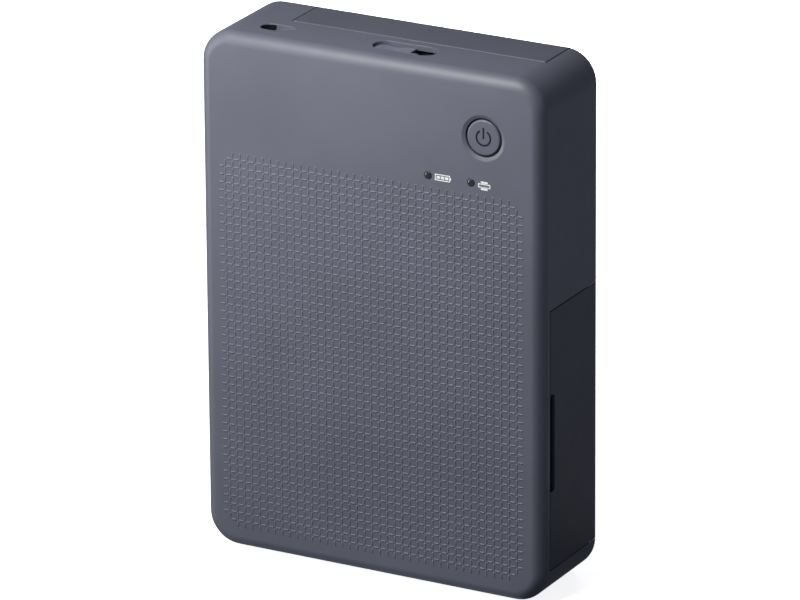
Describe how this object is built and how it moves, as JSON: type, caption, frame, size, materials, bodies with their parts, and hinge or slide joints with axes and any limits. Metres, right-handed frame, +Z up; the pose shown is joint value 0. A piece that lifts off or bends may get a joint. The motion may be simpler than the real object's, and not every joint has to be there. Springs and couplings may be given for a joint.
{
  "type": "compact photo printer",
  "caption": "Slim upright photo printer with a deep tub case, a hinged rear paper cover, a side door over a film cassette, a round power button and a geared print drive.",
  "frame": {"origin": "middle of the foot face's bounding rectangle, on the surface that the printer stands on", "axes": "+X to the right as seen from the front, +Y to the rear, +Z up"},
  "size_m": [0.1022, 0.033, 0.1458],
  "materials": {
    "case_plastic": "fine matte blue-grey moulding with a raised lattice on the front",
    "back_plastic": "matte blue-grey",
    "cover_plastic": "matte blue-grey",
    "door_plastic": "matte blue-grey",
    "button_plastic": "satin blue-grey",
    "lever_plastic": "satin blue-grey",
    "lens_plastic": "smoked clear plastic",
    "black_plastic": "black moulding",
    "tray_plastic": "dark grey moulding",
    "cassette_plastic": "black moulding",
    "gear_plastic": "natural acetal",
    "film": "thin dyed film",
    "sheet_steel": "plated sheet",
    "steel": "bright steel",
    "spring_steel": "spring strip",
    "brass": "turned brass",
    "roller_rubber": "ground rubber",
    "sink_aluminium": "extruded aluminium",
    "head_ceramic": "glazed ceramic bar",
    "board": "green solder mask",
    "board_parts": "black packages",
    "battery_wrap": "grey sleeve"
  },
  "bodies": {
    "case": {"front_case": "case_plastic", "rear_case": "back_plastic", "case_screws": "steel", "cover_pins": "steel", "door_pins": "steel", "power_switch": "board_parts", "charge_lens": "lens_plastic", "status_lens": "lens_plastic", "strap_anchor": "black_plastic", "strap_pin": "steel", "paper_tray": "tray_plastic", "left_side_plate": "sheet_steel", "right_side_plate": "sheet_steel", "gear_bracket": "sheet_steel", "bracket_posts": "steel", "tie_rods": "steel", "small_screws": "steel", "gear_pins": "steel", "shaft_bushes": "black_plastic", "motor": "steel", "head_pins": "steel", "cassette_shell": "cassette_plastic", "film_web": "film", "exit_guide": "black_plastic", "main_board": "board", "board_chips": "board_parts", "battery": "battery_wrap", "usb_socket": "steel", "lever_spring": "spring_steel"},
    "rear_cover": {"rear_cover": "cover_plastic", "plate_rivets": "steel", "pressure_springs": "spring_steel"},
    "pressure_plate": {"pressure_plate": "sheet_steel"},
    "cassette_door": {"cassette_door": "door_plastic"},
    "power_button": {"power_button": "button_plastic"},
    "release_lever": {"release_lever": "lever_plastic", "latch_slider": "black_plastic"},
    "motor_rotor": {"motor_pinion": "brass", "motor_shaft": "steel"},
    "reduction_gear": {"reduction_gear": "gear_plastic"},
    "idler_gear": {"idler_gear": "gear_plastic"},
    "pickup_roller": {"pickup_shaft": "steel", "pickup_tyres": "roller_rubber", "pickup_gear": "gear_plastic"},
    "platen_roller": {"platen_shaft": "steel", "platen_rubber": "roller_rubber", "platen_gear": "gear_plastic"},
    "capstan": {"capstan_shaft": "steel", "capstan_gear": "gear_plastic"},
    "pinch_roller": {"pinch_roller": "steel"},
    "takeup_reel": {"takeup_spool": "cassette_plastic", "takeup_film": "film", "takeup_gear": "gear_plastic"},
    "supply_reel": {"supply_spool": "cassette_plastic", "supply_film": "film", "supply_hub": "gear_plastic"},
    "print_head": {"thermal_head": "head_ceramic", "head_heatsink": "sink_aluminium", "head_bracket": "sheet_steel"}
  },
  "joints": [
    {"name": "cover_hinge", "type": "hinge", "parent": "case", "child": "rear_cover", "pos_m": [0, 0.01345, 0.054], "axis": [-1, 0, 0], "range_deg": [0, 85]},
    {"name": "pressure_slide", "type": "slide", "parent": "rear_cover", "child": "pressure_plate", "axis": [0, 1, 0], "range_m": [0, 0.0016], "stiffness_N_per_m": 400, "springref_m": -0.001, "deforming": ["pressure_springs"]},
    {"name": "door_hinge", "type": "hinge", "parent": "case", "child": "cassette_door", "pos_m": [0.0481, 0.01345, 0.0455], "axis": [0, 0, 1], "range_deg": [0, 95]},
    {"name": "button_press", "type": "slide", "parent": "case", "child": "power_button", "axis": [0, 1, 0], "range_m": [0, 0.0005], "stiffness_N_per_m": 500, "springref_m": -0.0004},
    {"name": "lever_slide", "type": "slide", "parent": "case", "child": "release_lever", "axis": [1, 0, 0], "range_m": [0, 0.0043], "stiffness_N_per_m": 150, "springref_m": -0.001, "deforming": ["lever_spring"]},
    {"name": "head_lift", "type": "hinge", "parent": "case", "child": "print_head", "pos_m": [0, -0.00797, 0.043], "axis": [-1, 0, 0], "range_deg": [0, 6], "stiffness_Nm_per_rad": 0.05, "springref_deg": -11.46},
    {"name": "platen_spin", "type": "hinge", "parent": "case", "child": "platen_roller", "pos_m": [0, 0.00772, 0.03185], "axis": [1, 0, 0], "continuous": true},
    {"name": "capstan_spin", "type": "hinge", "parent": "case", "child": "capstan", "pos_m": [0, 0.00715, 0.04908], "axis": [1, 0, 0], "continuous": true},
    {"name": "pinch_spin", "type": "hinge", "parent": "case", "child": "pinch_roller", "pos_m": [0, 0.00148, 0.04908], "axis": [1, 0, 0], "continuous": true},
    {"name": "pickup_spin", "type": "hinge", "parent": "case", "child": "pickup_roller", "pos_m": [0, -0.0028, 0.07334], "axis": [1, 0, 0], "continuous": true},
    {"name": "takeup_spin", "type": "hinge", "parent": "case", "child": "takeup_reel", "pos_m": [0, -0.005, 0.05749], "axis": [1, 0, 0], "continuous": true},
    {"name": "supply_spin", "type": "hinge", "parent": "case", "child": "supply_reel", "pos_m": [0, -0.005, 0.0205], "axis": [1, 0, 0], "continuous": true},
    {"name": "idler_spin", "type": "hinge", "parent": "case", "child": "idler_gear", "pos_m": [0, -0.0036, 0.04075], "axis": [1, 0, 0], "continuous": true},
    {"name": "reduction_spin", "type": "hinge", "parent": "case", "child": "reduction_gear", "pos_m": [0, 0.0005, 0.08571], "axis": [1, 0, 0], "continuous": true},
    {"name": "motor_spin", "type": "hinge", "parent": "case", "child": "motor_rotor", "pos_m": [0, -0.007, 0.098], "axis": [1, 0, 0], "continuous": true}
  ],
  "couplings": [
    {"joint": "capstan_spin", "follows": "platen_spin", "ratio": 1.1667},
    {"joint": "pinch_spin", "follows": "platen_spin", "ratio": -2},
    {"joint": "pickup_spin", "follows": "platen_spin", "ratio": -0.7},
    {"joint": "takeup_spin", "follows": "platen_spin", "ratio": 0.7},
    {"joint": "supply_spin", "follows": "platen_spin", "ratio": -0.90682},
    {"joint": "idler_spin", "follows": "platen_spin", "ratio": -0.63636},
    {"joint": "reduction_spin", "follows": "platen_spin", "ratio": 1.1667},
    {"joint": "motor_spin", "follows": "platen_spin", "ratio": -3.0333}
  ]
}
